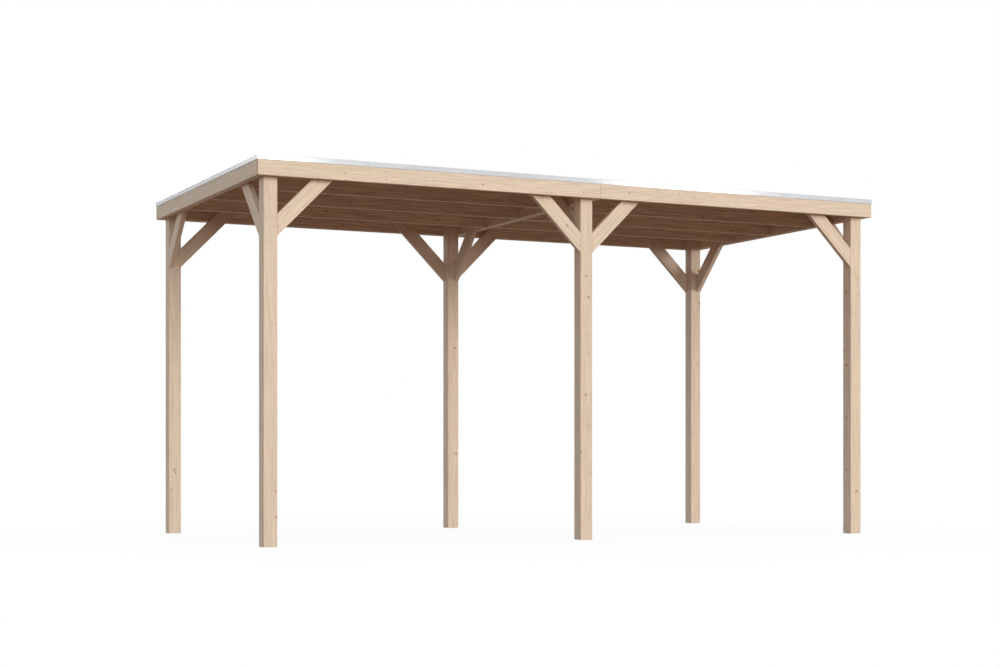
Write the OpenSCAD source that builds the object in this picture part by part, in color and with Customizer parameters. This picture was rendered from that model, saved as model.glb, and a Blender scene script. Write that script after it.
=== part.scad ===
// Flat-roofed garden pavilion: six square posts carry two framed roof modules, side by side.
// Frame: +X along the long front, +Y from front to back, +Z up. The origin is on the ground,
// under the middle of the roof. All sizes are in millimetres.

/* [Layout] */
// Distance between post centres along the front, one bay
bay_w = 2210; // [1700:10:2800]
// Distance between the front and back rows of post centres
bay_d = 2172; // [1800:4:2700]
// Height of the posts, from the ground to the underside of the roof boards
post_h = 2380; // [2000:10:3000]

/* [Posts] */
// Side of a square post
post_w = 90; // [70:1:140]
// Radius on a post's long edges
post_r = 3; // [1:0.5:8]

/* [Roof frame] */
// Thickness of a rim board
rim_t = 35; // [25:1:50]
// Height of rim boards and joists
rim_h = 95; // [75:1:140]
// Thickness of a joist
joist_t = 35; // [25:1:50]
// Shift of the right bay's front joist from even spacing, towards the back
right_front_shift = 50; // [0:1:80]
// Shift of the right bay's middle joist from even spacing, towards the back
right_middle_shift = 42; // [-80:1:80]
// Shift of the right bay's back joist from even spacing, towards the back
right_back_shift = -31; // [-80:1:0]
// Radius on the long edges of boards, joists and braces
board_r = 2; // [0.5:0.5:5]

/* [Braces] */
// Thickness of a knee brace
brace_t = 35; // [25:1:45]
// Width of a knee brace, across its 45 degree run
brace_w = 95; // [60:1:120]
// Gap between a brace's level top cut and the roof boards
brace_top_gap = 19; // [5:1:40]
// Gap between a brace's top end and the first joist
brace_joist_gap = 10; // [3:1:60]

/* [Fascia and roof skin] */
// Thickness of a fascia board
fascia_t = 18; // [12:1:30]
// How far the fascia hangs below the rim boards
fascia_drop = 3; // [0:1:20]
// Thickness of the roof boards
deck_t = 18; // [12:1:28]
// Thickness of the roofing membrane
skin_t = 1.5; // [1:0.1:4]

/* [Edge trim] */
// Sheet thickness of the aluminium edge trim
trim_t = 2; // [1:0.1:3]
// Height of the trim's face
trim_face = 32; // [24:1:60]
// How far the trim's face stands out from the fascia
trim_proud = 4; // [3.5:0.1:8]
// Height of the trim's top above the membrane
trim_rise = 11.5; // [8:0.5:20]
// Depth of the trim's raised cap, from its face inwards
trim_cap = 18; // [12:1:30]
// Depth of the flange that lies on the membrane
trim_flange = 50; // [30:1:80]
// Fall of the cap towards the roof
trim_fall = 1.5; // [0:0.1:3]
// Radius of the trim's top outer edge
trim_r = 3; // [1:0.5:5]
// Gap between the lip under the trim's face and the fascia
trim_lip_gap = 0.3; // [0.1:0.1:1]
// Height of that lip
trim_lip_h = 2; // [1:0.5:4]

/* [Hidden] */
$fn = 48;
// Steps in the trim's top outer edge
arc_steps = 6;
// Ends of the cutting solids pass the pieces by this much
over = 20;

// Post centres: three along X, two along Y
post_x = [-bay_w, 0, bay_w];
post_y = [-bay_d / 2, bay_d / 2];
half_post = post_w / 2;

// Faces of the roof frame, from the outer posts' centres outwards
rim_in = half_post;
rim_out = rim_in + rim_t;
fascia_out = rim_out + fascia_t;
trim_out = fascia_out + trim_proud;

// Both modules' end rims stand side by side on the middle posts' right face
seam_x = rim_out;
// Half of the roof frame's length and depth, to the outer faces of the rims
frame_x = bay_w + rim_out;
frame_y = bay_d / 2 + rim_out;

// Levels, from the ground up
rim_z = post_h - rim_h;
fascia_z = rim_z - fascia_drop;
deck_top = post_h + deck_t;
skin_top = deck_top + skin_t;
fascia_h = deck_top - fascia_z;

// Joists stand at even gaps between the front and back rims
joist_count = 3;
joist_span = bay_d + post_w;
joist_gap = (joist_span - joist_count * joist_t) / (joist_count + 1);
joist_pitch = joist_gap + joist_t;
right_shift = [right_front_shift, right_middle_shift, right_back_shift];

// A brace reaches from the post's side face almost to the first joist
brace_leg = joist_gap - post_w - brace_joist_gap;
brace_top = post_h - brace_top_gap;
brace_foot = brace_top - brace_leg;

wood = "burlywood";
wood_dark = "tan";

// ---- Planed timber ----

// End outline of a planed timber, with a quarter round of radius r on each long edge
module planed_outline(w, h, r) {
    translate([r, 0]) square([w - 2 * r, h]);
    translate([0, r]) square([w, h - 2 * r]);
    for (x = [r, w - r], y = [r, h - r])
        translate([x, y]) circle(r);
}

// Timber that runs along X, from the origin: size is [length, depth in Y, height in Z]
module timber_x(size, r) {
    rotate([90, 0, 90])
        linear_extrude(size[0])
            planed_outline(size[1], size[2], r);
}

// Timber that runs along Y, from the origin: size is [width in X, length, height in Z]
module timber_y(size, r) {
    translate([0, size[1], 0])
        rotate([90, 0, 0])
            linear_extrude(size[1])
                planed_outline(size[0], size[2], r);
}

// ---- Posts ----

// Square post i (0 left, 1 middle, 2 right) of the front (0) or back (1) row
module post(i, row) {
    color(wood)
        translate([post_x[i] - half_post, post_y[row] - half_post, 0])
            linear_extrude(post_h)
                planed_outline(post_w, post_w, post_r);
}

// ---- Knee braces ----

// Knee brace in its own frame: the post's side face is the plane x = 0, and the brace's
// outer face is the plane y = 0. It rises at 45 degrees towards +X, between a plumb cut
// at the post and a level cut below the roof boards.
module brace_blank() {
    run = (brace_leg + brace_w) * sqrt(2) + 2 * over;
    intersection() {
        translate([0, 0, brace_foot])
            rotate([0, -45, 0])
                translate([-brace_w - over, 0, 0])
                    timber_x([run, brace_t, brace_w], board_r);
        translate([0, -over, brace_foot - over])
            cube([brace_leg + over, brace_t + 2 * over, brace_top - brace_foot + over]);
    }
}

// Mirrors what it holds in X and in Y, where a flag asks for it
module mirrored(in_x, in_y) {
    mirror([in_x ? 1 : 0, 0, 0])
        mirror([0, in_y ? 1 : 0, 0])
            children();
}

// Brace in the front (0) or back (1) row, on the left (side -1) or right (side 1) of post i
module brace_along_row(i, row, side) {
    out_y = row == 0 ? -half_post : half_post;
    color(wood)
        translate([post_x[i] + side * half_post, post_y[row] + out_y, 0])
            mirrored(side < 0, row == 1)
                brace_blank();
}

// Brace that runs from post i of a row towards the middle of the roof, with its outer face
// flush with the post's left (side -1) or right (side 1) face
module brace_across(i, row, side) {
    in_y = row == 0 ? half_post : -half_post;
    color(wood)
        translate([post_x[i] + side * half_post, post_y[row] + in_y, 0])
            mirrored(side > 0, row == 1)
                mirror([1, -1, 0])
                    brace_blank();
}

// ---- Roof frame ----

// Front or back rim board, from x0 to x1
module rim_along(x0, x1, row) {
    y0 = row == 0 ? -frame_y : frame_y - rim_t;
    color(wood)
        translate([x0, y0, rim_z])
            timber_x([x1 - x0, rim_t, rim_h], board_r);
}

// End rim board whose left face is at x0, between the front and back rims
module rim_across(x0) {
    color(wood)
        translate([x0, -joist_span / 2, rim_z])
            timber_y([rim_t, joist_span, rim_h], board_r);
}

// Joist k (0 front to 2 back) of a bay that runs from x0 to x1
module joist(x0, x1, k, shift) {
    y = (k - (joist_count - 1) / 2) * joist_pitch + shift;
    color(wood_dark)
        translate([x0, y - joist_t / 2, rim_z])
            timber_x([x1 - x0, joist_t, rim_h], board_r);
}

module joist_left(k) {
    joist(-bay_w - rim_in, rim_in, k, 0);
}

module joist_right(k) {
    joist(seam_x + rim_t, bay_w + rim_in, k, right_shift[k]);
}

// ---- Fascia ----

// Front or back fascia board, from x0 to x1: it covers the side fascias' ends
module fascia_along(x0, x1, row) {
    y0 = row == 0 ? -frame_y - fascia_t : frame_y;
    color(wood)
        translate([x0, y0, fascia_z])
            timber_x([x1 - x0, fascia_t, fascia_h], board_r);
}

// Side fascia board whose left face is at x0
module fascia_across(x0) {
    color(wood)
        translate([x0, -frame_y, fascia_z])
            timber_y([fascia_t, 2 * frame_y, fascia_h], board_r);
}

// ---- Roof boards and membrane ----

// The roof boards, as one sheet that covers the rims
module roof_boards() {
    color(wood_dark)
        translate([-frame_x, -frame_y, post_h])
            cube([2 * frame_x, 2 * frame_y, deck_t]);
}

// The membrane lies on the roof boards and on the fascia's top edge
module roof_membrane() {
    x = frame_x + fascia_t;
    y = frame_y + fascia_t;
    color("dimgray")
        translate([-x, -y, deck_top])
            cube([2 * x, 2 * y, skin_t]);
}

// ---- Edge trim ----

// Quarter arc from the left of its centre (180 degrees) to above it (90 degrees)
function quarter(cx, cz, r) =
    [for (s = [0:arc_steps]) let (a = 180 - 90 * s / arc_steps) [cx + r * cos(a), cz + r * sin(a)]];

// Section of the trim: first number inwards from its face, second up from the membrane.
// It hangs over the fascia, rises to a cap, and comes down to a flange on the membrane.
trim_low = trim_rise - trim_face;
trim_section = concat(
    [[0, trim_low]],
    quarter(trim_r, trim_rise - trim_r, trim_r),
    [[trim_cap, trim_rise - trim_fall],
     [trim_cap, trim_t],
     [trim_cap + trim_flange, trim_t],
     [trim_cap + trim_flange, 0],
     [trim_cap - trim_t, 0],
     [trim_cap - trim_t, trim_rise - trim_fall - trim_t],
     [trim_t, trim_rise - trim_t],
     [trim_t, trim_low + trim_lip_h],
     [trim_proud - trim_lip_gap, trim_low + trim_lip_h],
     [trim_proud - trim_lip_gap, trim_low]]);

// One side's trim along +X, its outer corner at the origin and both ends mitred
module trim_length(length) {
    depth = trim_cap + trim_flange;
    intersection() {
        rotate([90, 0, 90])
            linear_extrude(length)
                polygon(trim_section);
        translate([0, 0, trim_low - over])
            linear_extrude(trim_face + 2 * over)
                polygon([[0, 0], [length, 0], [length - depth, depth], [depth, depth]]);
    }
}

// Trim on the side that faces out at the given turn: 0 front, 90 right, 180 back, 270 left
module trim(turn) {
    across = turn % 180 == 0;
    half = across ? bay_w + trim_out : bay_d / 2 + trim_out;
    out = across ? bay_d / 2 + trim_out : bay_w + trim_out;
    color("gainsboro")
        rotate([0, 0, turn])
            translate([-half, -out, skin_top])
                trim_length(2 * half);
}

// ---- The nodes ----

post(0, 0);  // post_front_left
post(1, 0);  // post_front_middle
post(2, 0);  // post_front_right
post(0, 1);  // post_back_left
post(1, 1);  // post_back_middle
post(2, 1);  // post_back_right
brace_along_row(0, 0, 1);  // brace_front_left
brace_along_row(1, 0, -1);  // brace_front_middle_left
brace_along_row(1, 0, 1);  // brace_front_middle_right
brace_along_row(2, 0, -1);  // brace_front_right
brace_along_row(0, 1, 1);  // brace_back_left
brace_along_row(1, 1, -1);  // brace_back_middle_left
brace_along_row(1, 1, 1);  // brace_back_middle_right
brace_along_row(2, 1, -1);  // brace_back_right
brace_across(0, 0, -1);  // brace_left_front
brace_across(0, 1, -1);  // brace_left_back
brace_across(1, 0, 1);  // brace_middle_front
brace_across(1, 1, 1);  // brace_middle_back
brace_across(2, 0, 1);  // brace_right_front
brace_across(2, 1, 1);  // brace_right_back
rim_along(-frame_x, seam_x, 0);  // rim_front_left
rim_along(seam_x, frame_x, 0);  // rim_front_right
rim_along(-frame_x, seam_x, 1);  // rim_back_left
rim_along(seam_x, frame_x, 1);  // rim_back_right
rim_across(-frame_x);  // rim_left
rim_across(seam_x - rim_t);  // rim_middle_left
rim_across(seam_x);  // rim_middle_right
rim_across(frame_x - rim_t);  // rim_right
joist_left(0);  // joist_left_front
joist_left(1);  // joist_left_middle
joist_left(2);  // joist_left_back
joist_right(0);  // joist_right_front
joist_right(1);  // joist_right_middle
joist_right(2);  // joist_right_back
fascia_along(-frame_x - fascia_t, seam_x, 0);  // fascia_front_left
fascia_along(seam_x, frame_x + fascia_t, 0);  // fascia_front_right
fascia_along(-frame_x - fascia_t, seam_x, 1);  // fascia_back_left
fascia_along(seam_x, frame_x + fascia_t, 1);  // fascia_back_right
fascia_across(-frame_x - fascia_t);  // fascia_left
fascia_across(frame_x);  // fascia_right
roof_boards();
roof_membrane();
trim(0);  // trim_front
trim(180);  // trim_back
trim(270);  // trim_left
trim(90);  // trim_right
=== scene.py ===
# %% [markdown]
# # A timber garden pavilion
# The real pavilion is an open shelter from a kit: six square spruce posts, knee braces, a flat
# roof of two bays framed in planed boards, a deck of tongued and grooved boards, and a sheet of
# roofing held down by aluminium edge trims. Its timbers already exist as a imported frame, with
# every post, brace and board at its real size. This lesson gives that frame its finish: sawn and
# planed spruce, drawn aluminium and rubber sheet, and a plain studio to see them in.

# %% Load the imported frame
import math
import bpy
import numpy as np
from mathutils import Matrix, Vector


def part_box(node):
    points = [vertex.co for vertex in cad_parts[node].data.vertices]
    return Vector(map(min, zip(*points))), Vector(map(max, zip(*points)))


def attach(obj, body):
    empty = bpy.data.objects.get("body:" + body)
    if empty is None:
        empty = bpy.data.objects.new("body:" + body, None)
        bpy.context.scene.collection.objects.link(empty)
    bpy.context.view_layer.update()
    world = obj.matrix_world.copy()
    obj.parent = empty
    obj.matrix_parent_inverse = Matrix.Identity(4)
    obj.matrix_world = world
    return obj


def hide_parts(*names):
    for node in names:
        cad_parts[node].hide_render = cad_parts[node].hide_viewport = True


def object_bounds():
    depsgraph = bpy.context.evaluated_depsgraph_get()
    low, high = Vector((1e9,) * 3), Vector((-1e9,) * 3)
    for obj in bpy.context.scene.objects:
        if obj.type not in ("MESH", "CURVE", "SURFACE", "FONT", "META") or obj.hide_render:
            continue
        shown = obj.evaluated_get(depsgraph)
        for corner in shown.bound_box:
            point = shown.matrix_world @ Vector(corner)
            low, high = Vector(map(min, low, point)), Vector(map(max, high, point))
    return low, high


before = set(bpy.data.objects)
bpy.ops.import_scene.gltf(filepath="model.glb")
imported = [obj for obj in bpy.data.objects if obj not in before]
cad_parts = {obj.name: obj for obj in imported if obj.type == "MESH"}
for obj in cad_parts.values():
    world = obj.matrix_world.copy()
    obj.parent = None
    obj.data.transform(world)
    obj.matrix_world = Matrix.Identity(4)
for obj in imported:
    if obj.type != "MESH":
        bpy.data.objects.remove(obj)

pieces = sorted(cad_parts)
cad_box = [list(corner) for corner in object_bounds()]
print("frame of", len(pieces), "pieces, from", cad_box[0], "to", cad_box[1])

# %% [markdown]
# ## Where things are
# Every place in this lesson comes from the frame. The deck and the roofing are measured first,
# because two new pieces stand for them, and the roof's outline also sets where the roofing's waves die
# down.

# %% Measure the roof
deck_low, deck_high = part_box("roof_boards")
sheet_low, sheet_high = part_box("roof_membrane")
roof_low, roof_high = (Vector(corner) for corner in cad_box)
roof_length, roof_width, top_height = roof_high - roof_low
print(f"roof {roof_length:.3f} by {roof_width:.3f} m, {top_height:.3f} m high")

# %% [markdown]
# ## The camera
# The pavilion is seen from well to its left and low, from about knee height, through a lens of
# 65 mm, and the camera is held level so that the posts stay upright. A level camera puts the
# horizon in the middle of the view, so the lens is shifted up a little to show the whole roof.
# The Standard view shows each colour as it is mixed, with no film curve over it.

# %% Set up the camera
eye_height = 0.574
eye_left = 5.729
eye_in_front = 11.694
turn_to_right = math.radians(25.716)

camera = bpy.data.objects.new("camera", bpy.data.cameras.new("camera"))
bpy.context.scene.collection.objects.link(camera)
camera.location = (-eye_left, -eye_in_front, eye_height)
camera.rotation_euler = (math.radians(90), 0, -turn_to_right)
camera.data.sensor_width = 36
camera.data.lens = 64.59
camera.data.shift_y = 0.1206
bpy.context.scene.camera = camera
bpy.context.scene.view_settings.view_transform = "Standard"
print(f"camera {camera.location.length:.2f} m from the ground under the roof's middle")

# %% [markdown]
# ## Writing node trees
# Materials, node groups, the floor and the world are all trees of nodes. A short helper class
# keeps them readable: each method adds one node and hands back the socket that comes out of it.
# Two small functions go with it, one to start a material and one to put it on a piece.

# %% A helper that writes node trees
class Wiring:
    """Adds nodes to a tree. A value is either another node's output or a plain number or colour."""

    def __init__(self, tree):
        self.tree = tree
        tree.nodes.clear()

    def put(self, kind, inputs=None, **settings):
        """One node of this kind, with its settings made and its inputs fed."""
        node = self.tree.nodes.new(kind)
        for name, value in settings.items():
            setattr(node, name, value)
        for name, value in (inputs or {}).items():
            self.feed(node.inputs[name], value)
        return node

    def feed(self, socket, value):
        """Links the value to the socket, or writes it there if it is plain."""
        if isinstance(value, bpy.types.NodeSocket):
            self.tree.links.new(value, socket)
        else:
            socket.default_value = value

    def math(self, operation, *values):
        """One sum on numbers."""
        return self.put("ShaderNodeMath", dict(enumerate(values)), operation=operation).outputs[0]

    def vector(self, operation, *values):
        """One sum on vectors. LENGTH and DOT_PRODUCT give a number."""
        node = self.put("ShaderNodeVectorMath", dict(enumerate(values)), operation=operation)
        return node.outputs["Value" if operation in ("LENGTH", "DOT_PRODUCT") else "Vector"]

    def split(self, vector):
        """The three parts of a vector."""
        return self.put("ShaderNodeSeparateXYZ", {0: vector}).outputs

    def join(self, x, y, z):
        """A vector of three numbers."""
        return self.put("ShaderNodeCombineXYZ", {0: x, 1: y, 2: z}).outputs[0]

    def ease(self, value, low, high, start=0.0, end=1.0):
        """Rises smoothly from start to end while the value goes from low to high."""
        inputs = {"Value": value, "From Min": low, "From Max": high, "To Min": start, "To Max": end}
        return self.put("ShaderNodeMapRange", inputs, interpolation_type="SMOOTHSTEP").outputs[0]

    def noise(self, place, scale, detail=2.0, roughness=0.5):
        """Soft random variation from 0 to 1, about scale patches to the metre."""
        inputs = {"Vector": place, "Scale": scale, "Detail": detail, "Roughness": roughness}
        return self.put("ShaderNodeTexNoise", inputs).outputs[0]

    def blend(self, share, first, second, how="MIX"):
        """The first colour with that share of the second in it."""
        node = self.put("ShaderNodeMix", data_type="RGBA", blend_type=how)
        for index, value in ((0, share), (6, first), (7, second)):
            self.feed(node.inputs[index], value)
        return node.outputs[2]

    def use(self, group, inputs):
        """Places a node group and gives back its outputs."""
        node = self.put("ShaderNodeGroup", node_tree=group)
        for name, value in inputs.items():
            self.feed(node.inputs[name], value)
        return node.outputs


def new_material(name):
    """An empty material and the wiring of its tree."""
    material = bpy.data.materials.new(name)
    material.use_nodes = True
    return material, Wiring(material.node_tree)


def dress(node, material):
    """Gives a piece of the frame this one material."""
    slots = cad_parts[node].data.materials
    slots.clear()
    slots.append(material)


# %% [markdown]
# ## The studio
# A white studio shows its walls and floor as pure white, but that white would also pour in under
# the roof and wash out its shade. So the world is white only to the camera and in reflections,
# which Light Path tells apart. All other light meets a cool grey room.

# %% The world
world = bpy.data.worlds.new("studio")
world.use_nodes = True
bpy.context.scene.world = world
wiring = Wiring(world.node_tree)


def seen_directly(wiring):
    """1 for light that goes straight to the eye, or by way of a mirror or glass."""
    ray = wiring.put("ShaderNodeLightPath").outputs
    straight = wiring.math("MAXIMUM", ray["Is Camera Ray"], ray["Is Glossy Ray"])
    return wiring.math("MAXIMUM", straight, ray["Is Transmission Ray"])


cool_room = wiring.put("ShaderNodeBackground", {"Color": (0.8, 0.85, 1.0, 1), "Strength": 0.42})
white_wall = wiring.put("ShaderNodeBackground", {"Color": (1, 1, 1, 1), "Strength": 1.0})
room = wiring.put("ShaderNodeMixShader", {0: seen_directly(wiring)})
wiring.feed(room.inputs[1], cool_room.outputs[0])
wiring.feed(room.inputs[2], white_wall.outputs[0])
wiring.put("ShaderNodeOutputWorld", {"Surface": room.outputs[0]})
print("world", world.name, "has", len(world.node_tree.nodes), "nodes")

# %% [markdown]
# ### The floor
# The floor is white to the camera as well, and a dull brown to the light that bounces off it, as
# trodden ground would be. Near the pavilion it keeps the soft shadow of the roof. Seen from below
# it is clear, so that the underside can be looked at. It is also clear to light that has come
# less than a centimetre, which lets some light onto the feet that stand on it.

# %% Lay the floor
floor_reach = 300.0
floor_mesh = bpy.data.meshes.new("studio_floor")
corners = np.array([(-1, -1, 0), (1, -1, 0), (1, 1, 0), (-1, 1, 0)]) * floor_reach
floor_mesh.from_pydata(corners.tolist(), [], [(0, 1, 2, 3)])
floor = bpy.data.objects.new("studio_floor", floor_mesh)
bpy.context.scene.collection.objects.link(floor)

floor_paint, wiring = new_material("floor_paint")
dull = wiring.put("ShaderNodeBsdfDiffuse", {"Color": (0.3, 0.2, 0.15, 1)})
pale = wiring.put("ShaderNodeBsdfDiffuse", {"Color": (0.9, 0.9, 0.9, 1)})
place = wiring.put("ShaderNodeTexCoord").outputs["Object"]
shadow_share = wiring.ease(wiring.vector("LENGTH", place), 2.5, 7.0, 0.27, 0.0)
evened = wiring.math("MULTIPLY_ADD", shadow_share, 0.5, 1.0)
white = wiring.put("ShaderNodeEmission", {"Color": (1, 1, 1, 1), "Strength": evened})
shown = wiring.put("ShaderNodeMixShader", {0: shadow_share})
wiring.feed(shown.inputs[1], white.outputs[0])
wiring.feed(shown.inputs[2], pale.outputs[0])
from_above = wiring.put("ShaderNodeMixShader", {0: seen_directly(wiring)})
wiring.feed(from_above.inputs[1], dull.outputs[0])
wiring.feed(from_above.inputs[2], shown.outputs[0])
clear = wiring.put("ShaderNodeBsdfTransparent")
from_below = wiring.put("ShaderNodeNewGeometry").outputs["Backfacing"]
just_started = wiring.math("LESS_THAN", wiring.put("ShaderNodeLightPath").outputs["Ray Length"], 0.01)
both = wiring.put("ShaderNodeMixShader", {0: wiring.math("MAXIMUM", from_below, just_started)})
wiring.feed(both.inputs[1], from_above.outputs[0])
wiring.feed(both.inputs[2], clear.outputs[0])
wiring.put("ShaderNodeOutputMaterial", {"Surface": both.outputs[0]})
floor.data.materials.append(floor_paint)
print(f"floor reaches {floor_reach} m")

# %% [markdown]
# ## The lamps
# Each lamp is a sun with a wide face, which lights like a huge soft panel a long way off: near and
# far posts get the same light, and shadows melt away softly. The widest one, in front, is the key.
# A low amber one near it reaches in under the roof, and the strongest stands to the right. Weaker
# ones fill in from the left, some with the blue tint of open shade, and one behind lights the back
# row for whoever walks round. Two narrow ones are there only to gleam in the metal. A face's angle
# is its width as seen from the pavilion, and bearings count from straight ahead of the long front,
# to the right.

# %% The lamps
def far_panel(name, bearing, rise, face, strength, colour=(1.0, 1.0, 1.0)):
    """A sun at this bearing and rise above the ground, all angles in degrees."""
    lamp = bpy.data.lights.new(name, "SUN")
    lamp.angle = math.radians(face)
    lamp.energy = strength
    lamp.color = colour
    panel = bpy.data.objects.new(name, lamp)
    bpy.context.scene.collection.objects.link(panel)
    turned, raised = math.radians(bearing), math.radians(rise)
    towards = Vector((math.sin(turned) * math.cos(raised), -math.cos(turned) * math.cos(raised),
                      math.sin(raised)))
    panel.rotation_euler = towards.to_track_quat("Z", "Y").to_euler()


cool_white = (0.9, 1.0, 1.0)
open_shade = (0.65, 0.85, 1.0)
warm_white = (1.0, 0.9, 0.8)
amber = (1.0, 0.7, 0.5)
far_panel("key", bearing=-5, rise=8, face=48, strength=1.5, colour=cool_white)
far_panel("low_key", bearing=0, rise=2, face=10, strength=0.2, colour=amber)
far_panel("right", bearing=60, rise=8, face=20, strength=2.3)
far_panel("left_front", bearing=-60, rise=8, face=35, strength=0.35, colour=warm_white)
far_panel("left", bearing=-95, rise=10, face=30, strength=0.4, colour=open_shade)
far_panel("behind", bearing=-135, rise=10, face=35, strength=0.3, colour=open_shade)
far_panel("back", bearing=170, rise=12, face=20, strength=1.5)
far_panel("front_gleam", bearing=31.5, rise=8.5, face=3.6, strength=0.008)
far_panel("left_gleam", bearing=-159, rise=9, face=6, strength=0.006, colour=cool_white)
print("lamps", [lamp.name for lamp in bpy.data.lights])

# %% [markdown]
# ## Node groups
# Wood is one solid thing seen on six faces, so its pattern is worked out in space: rings round
# the heart of the log, fibres along it and knots across it. Each of these is a node group with
# named inputs, and every timber places the same groups with its own values. All of them work in
# timber coordinates: u along the grain, v and w across it, in metres from the timber's middle.

# %% A helper that makes node groups
def new_group(name, takes, gives, build):
    """takes is {input: (kind, value)}, gives is {output: kind}, and build wires one to the other."""
    group = bpy.data.node_groups.new(name, "ShaderNodeTree")
    for label, (kind, value) in takes.items():
        socket = group.interface.new_socket(label, in_out="INPUT", socket_type="NodeSocket" + kind)
        socket.default_value = value
    for label, kind in gives.items():
        group.interface.new_socket(label, in_out="OUTPUT", socket_type="NodeSocket" + kind)
    wiring = Wiring(group)
    given = group.nodes.new("NodeGroupInput").outputs
    result = group.nodes.new("NodeGroupOutput").inputs
    for label, socket in build(wiring, given).items():
        wiring.feed(result[label], socket)
    print("group", name, "takes", ", ".join(takes), "and gives", ", ".join(gives))
    return group


# %% [markdown]
# ### Knots
# A knot is the stub of a small branch that grew out from the heart, died and was grown over, and
# a face shows it as a small brown spot. The log is unrolled into a map of length, angle and
# depth, a Voronoi pattern scatters spots in that map, and a random value decides how big a knot
# each spot carries, or that it carries none. Angle times the distance to the heart is the way
# round the log, which keeps every knot round, however deep the saw cut.

# %% Group: knots
def wire_knots(wiring, given):
    """Distance to the nearest spot, along, around and half the depth, over that spot's own size."""
    u, v, w = wiring.split(given["Place"])
    heart = wiring.split(given["Heart"])
    beside = wiring.math("SUBTRACT", v, heart[1])
    beyond = wiring.math("SUBTRACT", w, heart[2])
    from_heart = wiring.join(beside, beyond, 0.0)
    angle = wiring.math("ARCTAN2", beyond, beside)
    depth = wiring.vector("LENGTH", from_heart)
    spacing = (0.13, 0.8, 0.030)
    log_map = wiring.vector("DIVIDE", wiring.join(u, angle, depth), spacing)
    spots = wiring.put("ShaderNodeTexVoronoi", {"Vector": log_map, "Scale": 1.0}).outputs
    apart = wiring.vector("MULTIPLY", wiring.vector("SUBTRACT", log_map, spots["Position"]), spacing)
    along, turned, deeper = wiring.split(apart)
    around = wiring.math("MULTIPLY", turned, depth)
    reach = wiring.vector("LENGTH", wiring.join(along, around, wiring.math("MULTIPLY", deeper, 0.5)))
    reach = wiring.math("MULTIPLY", reach, wiring.math("ADD", wiring.noise(given["Place"], 220.0), 0.5))

    chance = wiring.split(spots["Color"])
    seam = wiring.ease(wiring.math("ABSOLUTE", angle), 2.95, 3.1, 1.0, 0.0)
    bare = wiring.math("SUBTRACT", 1.0, given["Share"])
    there = wiring.ease(chance[0], bare, wiring.math("ADD", bare, 0.05))
    there = wiring.math("MULTIPLY", there, seam)
    size = wiring.math("MULTIPLY", given["Size"], wiring.ease(chance[1], 0.0, 1.0, 0.45, 1.0))
    part = wiring.math("DIVIDE", reach, size)
    knot = wiring.math("MULTIPLY", wiring.ease(part, 0.7, 1.0, 1.0, 0.0), there)
    rim = wiring.math("MULTIPLY", wiring.ease(part, 0.45, 0.75), knot)
    halo = wiring.math("MULTIPLY", wiring.ease(part, 0.8, 3.2, 1.0, 0.0), there)
    return {"Knot": knot, "Rim": rim, "Halo": halo}


knots_group = new_group(
    "Knots",
    {"Place": ("Vector", (0, 0, 0)), "Heart": ("Vector", (0, 0.05, 0)),
     "Size": ("Float", 0.007), "Share": ("Float", 0.5)},
    {"Knot": "Float", "Rim": "Float", "Halo": "Float"},
    wire_knots,
)

# %% [markdown]
# ### Growth rings
# A tree adds a pale band each spring and a thin dark one each summer. Round the heart they are
# circles, and where a face cuts them at a low angle they become the long flame shapes of a
# planed board. The heart leans a little against the saw, so the flames run out along the board,
# and the rings bulge round every knot.

# %% Group: growth rings
def wire_rings(wiring, given):
    """Rings counted outwards from the heart: the distance to it over the width of one ring."""
    place = given["Place"]
    u = wiring.split(place)[0]
    heart = wiring.vector("MULTIPLY_ADD", given["Lean"], wiring.join(u, u, u), given["Heart"])
    across = wiring.vector("MULTIPLY", wiring.vector("SUBTRACT", place, heart), (0.0, 1.0, 1.0))
    slow = wiring.vector("MULTIPLY", place, (1.3, 9.0, 9.0))
    slow = wiring.vector("MULTIPLY_ADD", given["Heart"], (100.0, 100.0, 100.0), slow)
    wander = wiring.math("SUBTRACT", wiring.noise(slow, 1.0, 3.0), 0.5)
    radius = wiring.math("MULTIPLY_ADD", wander, 0.012, wiring.vector("LENGTH", across))
    years = wiring.math("DIVIDE", radius, given["Ring width"])
    season = wiring.noise(wiring.join(wiring.math("MULTIPLY", radius, 70.0), 0.0, 0.0), 1.0, 2.0)
    years = wiring.math("MULTIPLY_ADD", season, 2.2, years)
    years = wiring.math("MULTIPLY_ADD", given["Halo"], 1.6, years)
    year = wiring.math("FRACT", years)
    winter = wiring.ease(year, 0.93, 1.0, 1.0, 0.0)
    return {"Rings": wiring.math("MULTIPLY", wiring.ease(year, 0.3, 0.88), winter)}


rings_group = new_group(
    "Growth rings",
    {"Place": ("Vector", (0, 0, 0)), "Heart": ("Vector", (0, 0.05, 0)),
     "Lean": ("Vector", (0, 0, 0)), "Ring width": ("Float", 0.003), "Halo": ("Float", 0.0)},
    {"Rings": "Float"},
    wire_rings,
)

# %% [markdown]
# ### Fibres
# Between the rings, wood is made of fibres a few hundredths of a millimetre thick and centimetres
# long. Three layers of noise, drawn out along the grain, stand for them: fine fibres, lighter and
# darker streaks, and broad soft bands in which the colour drifts between rosy and yellow.

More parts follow.
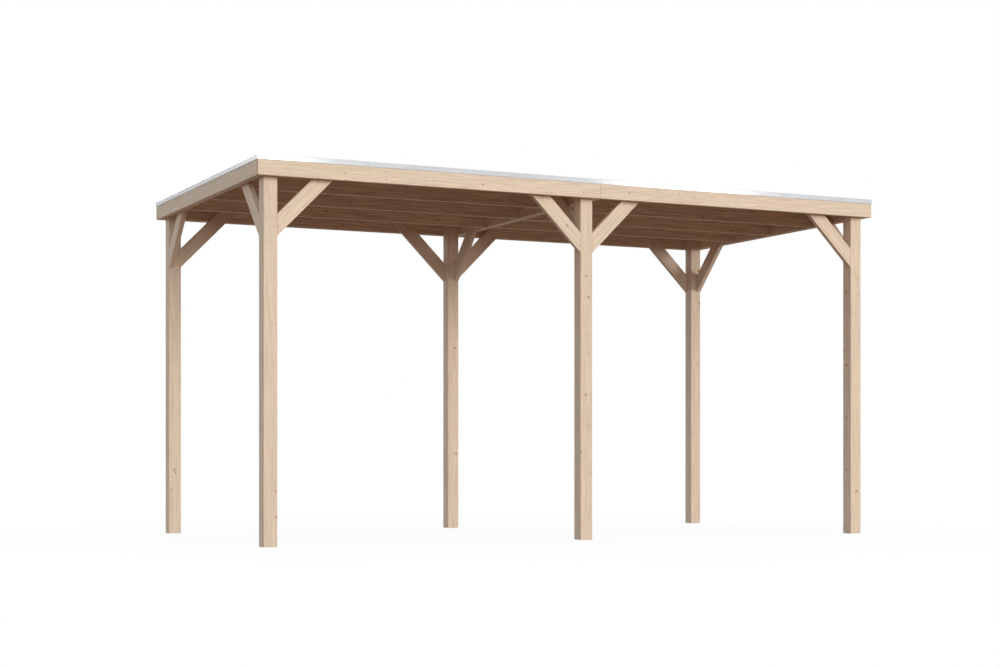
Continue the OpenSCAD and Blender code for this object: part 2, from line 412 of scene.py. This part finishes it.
# %% Group: fibres
def wire_fibres(wiring, given):
    """Noise stretched along u, at three widths across the grain."""
    place = given["Place"]
    fine = wiring.noise(wiring.vector("MULTIPLY", place, (14.0, 900.0, 900.0)), 1.0, 3.0, 0.6)
    streak = wiring.noise(wiring.vector("MULTIPLY", place, (5.0, 190.0, 190.0)), 1.0, 3.0, 0.55)
    band = wiring.noise(wiring.vector("MULTIPLY", place, (0.9, 42.0, 42.0)), 1.0, 2.0, 0.5)
    return {
        "Fine": wiring.ease(fine, 0.3, 0.7),
        "Streak": wiring.ease(streak, 0.3, 0.7),
        "Band": wiring.ease(band, 0.3, 0.7),
    }


fibres_group = new_group(
    "Fibres",
    {"Place": ("Vector", (0, 0, 0))},
    {"Fine": "Float", "Streak": "Float", "Band": "Float"},
    wire_fibres,
)

# %% [markdown]
# ### Pith flecks
# Spruce carries short thin brown dashes where resin ran or an insect once fed under the bark. They
# lie along the grain, a few to a hand's breadth. A Voronoi pattern squeezed across the grain gives
# long thin cells, and a random value leaves a dash in only a few of them.

# %% Group: pith flecks
def wire_flecks(wiring, given):
    """The core of a long cell, 28 mm by 3 mm, where that cell's random value is high enough."""
    cells = wiring.vector("MULTIPLY", given["Place"], (36.0, 300.0, 300.0))
    spots = wiring.put("ShaderNodeTexVoronoi", {"Vector": cells, "Scale": 1.0}).outputs
    bare = wiring.math("SUBTRACT", 1.0, given["Share"])
    there = wiring.ease(wiring.split(spots["Color"])[0], bare, 1.0)
    core = wiring.ease(spots["Distance"], 0.2, 0.45, 1.0, 0.0)
    return {"Fleck": wiring.math("MULTIPLY", core, there)}


flecks_group = new_group(
    "Pith flecks",
    {"Place": ("Vector", (0, 0, 0)), "Share": ("Float", 0.2)},
    {"Fleck": "Float"},
    wire_flecks,
)

# %% [markdown]
# ### Eased edges
# A planed timber has its long edges rounded by a cutter. A narrow band along them is painted
# shade, a shade browner, where the rounded edges turn from the light. The last few millimetres
# before an end are darker too, a painted shadow line where one timber meets another or the floor.
# Both masks come from the timber's own size.

# %% Group: eased edges
def wire_edges(wiring, given):
    """Nearness to a long edge: both distances to the timber's faces are small there."""
    u, v, w = wiring.split(given["Place"])
    half = wiring.split(given["Half size"])
    to_side = wiring.math("SUBTRACT", half[1], wiring.math("ABSOLUTE", v))
    to_face = wiring.math("SUBTRACT", half[2], wiring.math("ABSOLUTE", w))
    to_edge = wiring.math("MAXIMUM", to_side, to_face)
    unevenness = wiring.noise(wiring.vector("MULTIPLY", given["Place"], (12.0, 60.0, 60.0)), 1.0, 3.0)
    worn = wiring.math("MULTIPLY", given["Width"], wiring.math("ADD", unevenness, 0.6))
    to_end = wiring.math("SUBTRACT", half[0], wiring.math("ABSOLUTE", u))
    return {
        # Edge is painted shade on the rounded long edges, and the same mask makes them a little
        # smoother.
        "Edge": wiring.ease(wiring.math("DIVIDE", to_edge, worn), 0.4, 1.0, 1.0, 0.0),
        # Tip is a painted shadow line over the last few millimetres before each end.
        "Painted end shade": wiring.ease(to_end, 0.0, 0.007, 1.0, 0.0),
    }


edges_group = new_group(
    "Eased edges",
    {"Place": ("Vector", (0, 0, 0)), "Half size": ("Vector", (1, 0.045, 0.045)),
     "Width": ("Float", 0.005)},
    {"Edge": "Float", "Painted end shade": "Float"},
    wire_edges,
)

# %% [markdown]
# ### Sawn ends
# The saw cuts every fibre across. The open ends soak up more and look darker, and the saw's teeth
# leave fine lines on them. A face is an end where it looks along the grain.

# %% Group: sawn ends
def wire_ends(wiring, given):
    """The part of the normal that runs along the grain, and stretched noise for the teeth."""
    normal = wiring.put("ShaderNodeTexCoord").outputs["Normal"]
    facing = wiring.math("ABSOLUTE", wiring.vector("DOT_PRODUCT", normal, given["Along"]))
    end = wiring.ease(facing, 0.35, 0.6)
    kerf = wiring.noise(wiring.vector("MULTIPLY", given["Place"], (40.0, 30.0, 1400.0)), 1.0, 2.0)
    return {"End": end, "Saw marks": wiring.math("MULTIPLY", wiring.ease(kerf, 0.4, 0.6), end)}


ends_group = new_group(
    "Sawn ends",
    {"Place": ("Vector", (0, 0, 0)), "Along": ("Vector", (1, 0, 0))},
    {"End": "Float", "Saw marks": "Float"},
    wire_ends,
)

# %% [markdown]
# ### Dust
# Dust settles on what faces the sky and gathers in soft patches. Timber, metal and roofing all
# share this group, with more of it on the roof.

# %% Group: dust
def wire_dust(wiring, given):
    """How far a face looks up, times patches of noise, times the amount."""
    normal_up = wiring.split(wiring.put("ShaderNodeTexCoord").outputs["Normal"])[2]
    patches = wiring.ease(wiring.noise(given["Place"], 3.5, 5.0, 0.6), 0.35, 0.7, 0.35, 1.0)
    settled = wiring.math("MULTIPLY", wiring.ease(normal_up, 0.4, 0.95), patches)
    return {"Dust": wiring.math("MULTIPLY", settled, given["Amount"])}


dust_group = new_group(
    "Dust",
    {"Place": ("Vector", (0, 0, 0)), "Amount": ("Float", 0.3)},
    {"Dust": "Float"},
    wire_dust,
)

# %% [markdown]
# ## Spruce
# One recipe makes the finish of every timber, from the place within that timber. Fresh spruce is
# pale, with yellow and rosy stretches in its spring wood and browner summer wood. Whatever marks
# it, from knots to the painted shade at its edges and ends, is a brown of its own. The marks are
# listed in the order in which they lie over one another, each with the share of its colour that
# covers what is below.

# %% The colours of spruce
spring_wood = (0.738, 0.596, 0.434, 1)
rosy_wood = (0.756, 0.586, 0.456, 1)
summer_wood = (0.610, 0.435, 0.305, 1)
knot_wood = (0.360, 0.195, 0.110, 1)
knot_rim = (0.190, 0.090, 0.050, 1)
halo_wood = (0.560, 0.370, 0.230, 1)
end_wood = (0.520, 0.370, 0.250, 1)
edge_shade_brown = (0.500, 0.330, 0.210, 1)
dust_grey = (0.520, 0.500, 0.470, 1)
marks = [
    ("Fleck", 0.70, halo_wood),
    ("Halo", 0.35, halo_wood),
    ("Knot", 1.00, knot_wood),
    ("Rim", 0.70, knot_rim),
    ("End", 0.55, end_wood),
    ("Saw marks", 0.15, end_wood),
    # Edge is painted shade along the long edges, and the end mark after it is a painted shadow line.
    ("Edge", 0.35, edge_shade_brown),
    ("Painted end shade", 0.60, halo_wood),
    ("Dust", 0.50, dust_grey),
]
print("marks on spruce:", ", ".join(mark for mark, share, colour in marks))

# %% [markdown]
# ### Asking the groups
# The recipe first asks every group what it finds at a place. How a timber was cut from its log is
# a handful of values: where the heart lies from its middle, how that leans, how far along the log
# it starts, its ring width, its tone, and how knotty and how streaky it is.

# %% What the groups find
def look_closely(wiring, place, cut, half_size, along):
    """Every output of every group at this place, by name."""
    in_log = wiring.vector("ADD", place, wiring.join(cut["start"], 0.0, 0.0))
    knots = wiring.use(knots_group, {"Place": in_log, "Heart": cut["heart"], "Share": cut["knotty"]})
    rings = wiring.use(rings_group, {"Place": place, "Heart": cut["heart"], "Lean": cut["lean"],
                                     "Ring width": cut["ring_width"], "Halo": knots["Halo"]})
    fibres = wiring.use(fibres_group, {"Place": in_log})
    flecks = wiring.use(flecks_group, {"Place": in_log})
    edges = wiring.use(edges_group, {"Place": place, "Half size": half_size})
    ends = wiring.use(ends_group, {"Place": place, "Along": along})
    dust = wiring.use(dust_group, {"Place": place})
    found = {}
    for outputs in (knots, rings, fibres, flecks, edges, ends, dust):
        found.update({socket.name: socket for socket in outputs})
    return found


# %% [markdown]
# ### Colour
# The wood's own colour comes first: the drift from yellow to rosy, the summer bands, and streaks
# that make it lighter and darker along the grain. Then the marks go on, one over another.

# %% The colour of a place
def colour_spruce(wiring, found, cut):
    """Spring wood, summer wood over it, times the light of the streaks, and then each mark."""
    colour = wiring.blend(found["Band"], spring_wood, rosy_wood)
    summer = wiring.math("MULTIPLY", found["Rings"], wiring.ease(found["Fine"], 0.0, 1.0, 0.30, 0.50))
    colour = wiring.blend(summer, colour, summer_wood)
    darkest, lightest = 1.0 - cut["streaky"], 1.0 + cut["streaky"] * 0.8
    light = wiring.ease(found["Streak"], 0.0, 1.0, darkest, lightest)
    light = wiring.math("MULTIPLY", light, wiring.ease(found["Fine"], 0.0, 1.0, 0.98, 1.02))
    light = wiring.math("MULTIPLY", light, cut["tone"])
    colour = wiring.blend(1.0, colour, wiring.join(light, light, light), "MULTIPLY")
    for mark, share, mark_colour in marks:
        colour = wiring.blend(wiring.math("MULTIPLY", found[mark], share), colour, mark_colour)
    return colour


# %% [markdown]
# ### Surface
# The surface is planed, so it is almost smooth. The harder summer wood stands proud by a few
# hundredths of a millimetre, knots sink a little at their rims, and sawn ends are the roughest.
# These are too fine for the mesh, and go into bump. Edges worn by hands are a little smoother.

# %% The whole finish of spruce
def wire_spruce(wiring, place, cut, half_size, along):
    """Colour, roughness and relief, brought together in one shader."""
    found = look_closely(wiring, place, cut, half_size, along)
    rough = wiring.ease(found["Streak"], 0.0, 1.0, 0.58, 0.70)
    rough = wiring.math("MULTIPLY_ADD", found["End"], 0.2, rough)
    rough = wiring.math("MULTIPLY_ADD", found["Edge"], -0.08, rough)

    relief = wiring.math("MULTIPLY", wiring.math("ADD", found["Rings"], found["Fine"]), 0.5)
    relief = wiring.math("MULTIPLY_ADD", found["Saw marks"], 1.5, relief)
    relief = wiring.math("MULTIPLY_ADD", found["Rim"], -1.0, relief)
    bump = wiring.put("ShaderNodeBump", {"Strength": 0.5, "Distance": 0.0003, "Height": relief})

    shader = wiring.put("ShaderNodeBsdfPrincipled", {
        "Base Color": colour_spruce(wiring, found, cut), "Roughness": rough, "Normal": bump.outputs[0]})
    shader.inputs["Specular IOR Level"].default_value = 0.1
    wiring.put("ShaderNodeOutputMaterial", {"Surface": shader.outputs[0]})


# %% [markdown]
# ## Which way each timber runs
# A timber's pattern needs its own axes. Posts, rims, joists and fascias run along the longest
# side of their box. A knee brace runs at 45 degrees in the plane of its two long sides, and its
# corners tell which way it leans: the two coordinates rise together or against each other.

# %% Axes of a timber
def points_of(node):
    """All the corners of a node's mesh as one array of x, y, z."""
    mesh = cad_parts[node].data
    flat = np.zeros(len(mesh.vertices) * 3)
    mesh.vertices.foreach_get("co", flat)
    return flat.reshape(-1, 3)


def grain_axes(node):
    """Unit vectors u along the grain, v across the thinner way or the side, and w = u x v."""
    points = points_of(node)
    spans = np.ptp(points, axis=0)
    u = np.zeros(3)
    if node.startswith("brace"):
        level = 0 if spans[0] > spans[1] else 1
        centred = points - points.mean(axis=0)
        together = np.sum(centred[:, level] * centred[:, 2])
        u[level] = math.copysign(math.sqrt(0.5), together)
        u[2] = math.sqrt(0.5)
    else:
        u[np.argmax(spans)] = 1.0
    v = np.zeros(3)
    v[0 if abs(u[1]) > 0.1 or abs(u[2]) > 0.9 else 1] = 1.0
    return np.array([u, v, np.cross(u, v)])


def place_in_timber(wiring, node, axes):
    """A Mapping node that turns object coordinates into u, v, w from the timber's middle."""
    low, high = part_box(node)
    middle = (low + high) / 2
    turn = Matrix(axes.tolist())
    mapping = wiring.put("ShaderNodeMapping")
    mapping.inputs["Location"].default_value = -(turn @ middle)
    mapping.inputs["Rotation"].default_value = turn.to_euler("XYZ")
    wiring.feed(mapping.inputs["Vector"], wiring.put("ShaderNodeTexCoord").outputs["Object"])
    half = np.abs((points_of(node) - np.array(middle)) @ axes.T).max(axis=0)
    return mapping.outputs[0], half


print("a front brace runs along", grain_axes("brace_front_left")[0].round(3))

# %% [markdown]
# ## Finishing every timber
# No two timbers come from the same place in a log. Each gets its own heart, somewhere beside it
# and mostly out past its broad face, its own lean and ring width, and a tone a touch lighter or
# darker than its neighbours. The posts are picked for looks, while the rims and joists, up out of
# sight, are from plainer wood with darker streaks.

# %% Finish the timbers
cuts = np.random.default_rng(7)


def finish_timber(node, ring_width, tone_spread, knots_left, streaky):
    """Draws the timber's place in its log by lot, and gives it its own spruce."""
    material, wiring = new_material("spruce_" + node)
    axes = grain_axes(node)
    place, half = place_in_timber(wiring, node, axes)
    direction = math.radians(cuts.uniform(55, 125)) * cuts.choice([-1, 1])
    distance = cuts.uniform(0.065, 0.12)
    broad_first = (0.0, math.cos(direction), math.sin(direction))
    broad_second = (0.0, math.sin(direction), math.cos(direction))
    cut = {
        "heart": Vector(broad_first if half[1] > half[2] else broad_second) * distance,
        "lean": (0.0, cuts.uniform(-0.008, 0.008), cuts.uniform(-0.008, 0.008)),
        "start": cuts.uniform(5, 50),
        "ring_width": ring_width * cuts.uniform(0.8, 1.25),
        "tone": 1.0 + cuts.uniform(-tone_spread, tone_spread),
        "knotty": cuts.uniform(0.8, 1.2) * knots_left,
        "streaky": streaky,
    }
    wire_spruce(wiring, place, cut, tuple(half), tuple(axes[0]))
    dress(node, material)


for node in pieces:
    if node.startswith(("post", "brace", "rim", "joist", "fascia")):
        knots_left = 0.6 if node.startswith("post") else 0.4
        streaky = 0.20 if node.startswith(("rim", "joist")) else 0.10
        finish_timber(node, ring_width=0.0032, tone_spread=0.02, knots_left=knots_left, streaky=streaky)
print("finished", len([m for m in bpy.data.materials if m.name.startswith("spruce_")]), "timbers")

# %% [markdown]
# ## New meshes from arrays
# A new piece is worked out as whole arrays of points. One helper turns points and faces into a
# mesh object that rides on the frame's body, and counts the edges that don't have a face on both
# sides: a closed shell has none.

# %% A helper that makes pieces
def make_piece(name, points, faces, material, replaced):
    """points is (n, 3) in metres in the frame's own place, faces are lists of point numbers."""
    mesh = bpy.data.meshes.new(name)
    mesh.from_pydata(points.reshape(-1, 3).tolist(), [], faces)
    mesh.validate()
    mesh.materials.append(material)
    piece = bpy.data.objects.new(name, mesh)
    bpy.context.scene.collection.objects.link(piece)
    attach(piece, "root")
    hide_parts(*replaced)
    edge_of_corner = np.zeros(len(mesh.loops), dtype=np.int32)
    mesh.loops.foreach_get("edge_index", edge_of_corner)
    open_edges = np.sum(np.bincount(edge_of_corner) != 2)
    print(name, len(mesh.polygons), "faces,", open_edges, "open edges")
    return piece


# %% [markdown]
# ## The roof deck
# The deck under the roofing is made of planed boards 18 mm thick that run from front to back over
# the joists. Each has a tongue on one side and a groove on the other, so that the boards carry
# one another, and small bevels below that meet in a V. From under the roof those V joints are
# what makes a boarded ceiling, so the real section is carried along every board.

# %% The section of a deck board
board_gap = 0.0005
bevel = 0.003
tongue_long = 0.0065
tongue_low, tongue_high = 0.0066, 0.0114
tongue_chamfer = 0.0005
groove_deep = 0.008
groove_slack = 0.0005


def board_section(cover, thick, grooved, tongued):
    """The outline of one board as x, z from its lower left corner, anticlockwise from below."""
    left, right = board_gap, cover - board_gap
    if tongued:
        tip = right + tongue_long
        shoulder = tip - tongue_chamfer
        right_side = [(right, bevel), (right, tongue_low), (shoulder, tongue_low),
                      (tip, tongue_low + tongue_chamfer), (tip, tongue_high - tongue_chamfer),
                      (shoulder, tongue_high), (right, tongue_high), (right, thick)]
    else:
        right_side = [(right, bevel), (right, thick)]
    if grooved:
        root = left + groove_deep
        left_side = [(left, thick), (left, tongue_high + groove_slack),
                     (root, tongue_high + groove_slack), (root, tongue_low - groove_slack),
                     (left, tongue_low - groove_slack), (left, bevel)]
    else:
        left_side = [(left, thick), (left, bevel)]
    return np.array([(left + bevel, 0.0), (right - bevel, 0.0)] + right_side + left_side)


print("a middle board has", len(board_section(0.095, 0.018, True, True)), "corners in its section")

# %% [markdown]
# ### Laying the deck
# The boards go down from left to right, each with its section carried over the whole depth of the
# roof. The cover is the width that one board adds. It is the one nearest 96 mm that fills the
# roof with whole boards. The first board has no groove and the last one no tongue.

# %% Lay the deck
board_wanted = 0.096
deck_length = deck_high.x - deck_low.x
board_count = round(deck_length / board_wanted)
board_cover = deck_length / board_count
deck_thick = deck_high.z - deck_low.z


def carry_section(section, left, y_low, y_high, z_low):
    """Points of the section at both ends of a straight board, and the faces that close it."""
    count = len(section)
    ends = np.zeros((2, count, 3))
    ends[:, :, 0] = left + section[:, 0]
    ends[:, :, 2] = z_low + section[:, 1]
    ends[0, :, 1] = y_low
    ends[1, :, 1] = y_high
    here = np.arange(count)
    after = np.roll(here, -1)
    sides = np.stack([here, after, after + count, here + count], axis=1).tolist()
    return ends.reshape(-1, 3), sides + [here[::-1].tolist(), (here + count).tolist()]


deck_points, deck_faces, deck_across, deck_luck = [], [], [], []
luck = np.random.default_rng(11)
point_total = 0
for number in range(board_count):
    section = board_section(board_cover, deck_thick, number > 0, number < board_count - 1)
    left = deck_low.x + number * board_cover
    points, faces = carry_section(section, left, deck_low.y, deck_high.y, deck_low.z)
    deck_points.append(points)
    deck_faces += [[corner + point_total for corner in face] for face in faces]
    deck_across.append(points[:, 0] - left - board_cover / 2)
    deck_luck.append(np.full(len(points), luck.uniform(0, 1)))
    point_total += len(points)
print(board_count, "deck boards, each covering", round(board_cover * 1000, 1), "mm")

# %% [markdown]
# ### Finishing the deck
# The boards share one mesh, so two values stored on its points tell the finish where it is: how
# far across its own board a point lies, and that board's luck, a random number that moves the
# board to another place in the log.

# %% Finish the deck
deck_finish, wiring = new_material("spruce_deck_boards")
across = wiring.put("ShaderNodeAttribute", attribute_name="across_board").outputs["Fac"]
board_luck = wiring.put("ShaderNodeAttribute", attribute_name="board_luck").outputs["Fac"]
where = wiring.split(wiring.put("ShaderNodeTexCoord").outputs["Object"])
through = wiring.math("SUBTRACT", where[2], deck_low.z + deck_thick / 2)
place = wiring.join(where[1], across, through)
second_luck = wiring.math("FRACT", wiring.math("MULTIPLY", board_luck, 7.0))
third_luck = wiring.math("FRACT", wiring.math("MULTIPLY", board_luck, 13.0))
cut = {
    "heart": wiring.join(0.0, wiring.ease(board_luck, 0.0, 1.0, -0.05, 0.05),
                         wiring.ease(second_luck, 0.0, 1.0, -0.09, -0.03)),
    "lean": (0.0, 0.0, 0.0),
    "start": wiring.math("MULTIPLY_ADD", board_luck, 37.0, 5.0),
    "ring_width": 0.0034,
    "tone": wiring.ease(third_luck, 0.0, 1.0, 0.95, 1.03),
    "knotty": 0.35,
    "streaky": 0.15,
}
wire_spruce(wiring, place, cut, (roof_width / 2, board_cover / 2, deck_thick / 2), (0.0, 1.0, 0.0))
deck = make_piece("deck_boards", np.concatenate(deck_points), deck_faces, deck_finish,
                  ["roof_boards"])
for name, values in (("across_board", deck_across), ("board_luck", deck_luck)):
    stored = deck.data.attributes.new(name, "FLOAT", "POINT")
    stored.data.foreach_set("value", np.concatenate(values).astype(np.float32))

# %% [markdown]
# ## The roofing
# A flat roof this small is covered with one sheet of rubber, glued to the boards. It never lies
# quite flat: it has low waves where it was rolled out, and it shows the board joints as faint
# lines. The sheet is a height worked out over a grid, and dies down to flat at the edges, where
# the trims clamp it.

# %% Shape the roofing sheet
sheet_columns, sheet_rows = 232, 120
wave_height = 0.0011
joint_depth = 0.00025
joint_width = 0.006
clamped_border = 0.07
fade_length = 0.09


def sheet_rise(x, y):
    """Slow sine waves in several directions, less a dip at each board joint, faded at the border."""
    waves = np.sin(5.1 * x + 2.3 * y + 0.4) + np.sin(-3.7 * x + 6.9 * y + 1.9)
    waves += 0.6 * np.sin(11.3 * x - 4.4 * y + 2.7) + 0.35 * np.sin(17.0 * y + 2.1 * np.sin(2.2 * x))
    boards_along = (x - deck_low.x) / board_cover
    to_joint = np.abs(boards_along - np.round(boards_along)) * board_cover
    dip = np.exp(-((to_joint / joint_width) ** 2))
    to_border = np.minimum(roof_length / 2 - np.abs(x), roof_width / 2 - np.abs(y))
    fade = np.clip((to_border - clamped_border) / fade_length, 0, 1)
    fade = fade * fade * (3 - 2 * fade)
    return fade * (wave_height * (waves / 3 + 1) - joint_depth * dip)


def grid_sheet(low, high, columns, rows, thick):
    """A closed sheet: a grid of points on top, the same grid flat below, and a wall round it."""
    x, y = np.meshgrid(np.linspace(low.x, high.x, columns + 1), np.linspace(low.y, high.y, rows + 1))
    top = np.stack([x, y, high.z + sheet_rise(x, y)], axis=-1)
    below = np.stack([x, y, np.full_like(x, high.z - thick)], axis=-1)
    number = np.arange(x.size).reshape(x.shape)
    quads = np.stack([number[:-1, :-1], number[:-1, 1:], number[1:, 1:], number[1:, :-1]], axis=-1)
    quads = quads.reshape(-1, 4)
    rim = np.concatenate([number[0, :-1], number[:-1, -1], number[-1, :0:-1], number[:0:-1, 0]])
    after = np.roll(rim, -1)
    wall = np.stack([rim, rim + x.size, after + x.size, after], axis=1)[:, ::-1]
    faces = np.concatenate([quads, quads[:, ::-1] + x.size, wall])
    return np.concatenate([top.reshape(-1, 3), below.reshape(-1, 3)]), faces.tolist()


sheet_points, sheet_faces = grid_sheet(sheet_low, sheet_high, sheet_columns, sheet_rows,
                                       sheet_high.z - sheet_low.z)
print("the sheet rises", round((sheet_points[:, 2].max() - sheet_high.z) * 1000, 2), "mm at most")

# %% [markdown]
# ### Finishing the roofing
# The rubber is near black, with a dull skin. Rain leaves pale rings where puddles dried, feet and
# brushes leave scuffs, and dust lies over all of it.

# %% Finish the roofing sheet
rubber, wiring = new_material("rubber_sheet")
place = wiring.put("ShaderNodeTexCoord").outputs["Object"]
skin = wiring.noise(place, 900.0, 2.0)
cloud = wiring.noise(place, 1.6, 6.0, 0.6)
puddle = wiring.noise(place, 1.1, 3.0)
inside = wiring.ease(puddle, 0.575, 0.60, 1.0, 0.0)
dried = wiring.math("MULTIPLY", wiring.ease(puddle, 0.55, 0.575), inside)
brushed = wiring.noise(wiring.vector("MULTIPLY", place, (70.0, 6.0, 6.0)), 1.0, 4.0)
scuff = wiring.ease(brushed, 0.62, 0.75)
dust = wiring.use(dust_group, {"Place": place, "Amount": 0.35})["Dust"]
colour = wiring.blend(cloud, (0.028, 0.029, 0.031, 1), (0.050, 0.051, 0.054, 1))
colour = wiring.blend(wiring.math("MULTIPLY", scuff, 0.25), colour, (0.11, 0.11, 0.11, 1))
colour = wiring.blend(wiring.math("MULTIPLY", dried, 0.14), colour, (0.20, 0.19, 0.175, 1))
colour = wiring.blend(wiring.math("MULTIPLY", dust, 0.22), colour, (0.20, 0.19, 0.18, 1))
rough = wiring.math("MULTIPLY_ADD", cloud, 0.2, 0.5)
bump = wiring.put("ShaderNodeBump", {"Strength": 0.4, "Distance": 0.0004, "Height": skin})
shader = wiring.put("ShaderNodeBsdfPrincipled", {"Base Color": colour, "Roughness": rough,
                                                 "Normal": bump.outputs[0]})
wiring.put("ShaderNodeOutputMaterial", {"Surface": shader.outputs[0]})
roofing = make_piece("roofing_sheet", sheet_points, sheet_faces, rubber, ["roof_membrane"])
roofing.data.shade_smooth()

# %% [markdown]
# ## The edge trims
# The trims are aluminium, pressed through a die and left bare. The die draws fine lines along the
# whole length, handling leaves faint smears, and the metal mirrors the white studio softly, so it
# looks pale grey with brighter stretches where it faces a lamp. From behind and from the right the
# mirrored lamps burn its top out to white. A lamp hidden from glossy rays wouldn't show in it.

# %% Finish the trims
def finish_trim(node):
    """Drawn lines run along the trim's longest side."""
    metal, wiring = new_material("aluminium_" + node)
    place = wiring.put("ShaderNodeTexCoord").outputs["Object"]
    low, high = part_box(node)
    runs_along_x = high.x - low.x > high.y - low.y
    stretch = (2.0, 1100.0, 1100.0) if runs_along_x else (1100.0, 2.0, 1100.0)
    lines = wiring.noise(wiring.vector("MULTIPLY", place, stretch), 1.0, 3.0, 0.6)
    smears = wiring.noise(place, 9.0, 4.0, 0.6)
    dust = wiring.use(dust_group, {"Place": place, "Amount": 0.5})["Dust"]
    smeared = wiring.ease(smears, 0.3, 0.7)
    colour = wiring.blend(smeared, (0.630, 0.636, 0.645, 1), (0.650, 0.656, 0.665, 1))
    colour = wiring.blend(wiring.math("MULTIPLY", dust, 0.5), colour, dust_grey)
    rough = wiring.math("MULTIPLY_ADD", smeared, 0.02, 0.08)
    rough = wiring.math("MULTIPLY_ADD", dust, 0.1, rough)
    bump = wiring.put("ShaderNodeBump", {"Strength": 0.05, "Distance": 0.00002, "Height": lines})
    shader = wiring.put("ShaderNodeBsdfPrincipled", {"Base Color": colour, "Roughness": rough,
                                                     "Normal": bump.outputs[0]})
    shader.inputs["Metallic"].default_value = 1.0
    shader.inputs["Specular Tint"].default_value = (0.72, 0.73, 0.74, 1)
    wiring.put("ShaderNodeOutputMaterial", {"Surface": shader.outputs[0]})
    dress(node, metal)


for node in pieces:
    if node.startswith("trim"):
        finish_trim(node)
print("finished", len([node for node in pieces if node.startswith("trim")]), "trims")
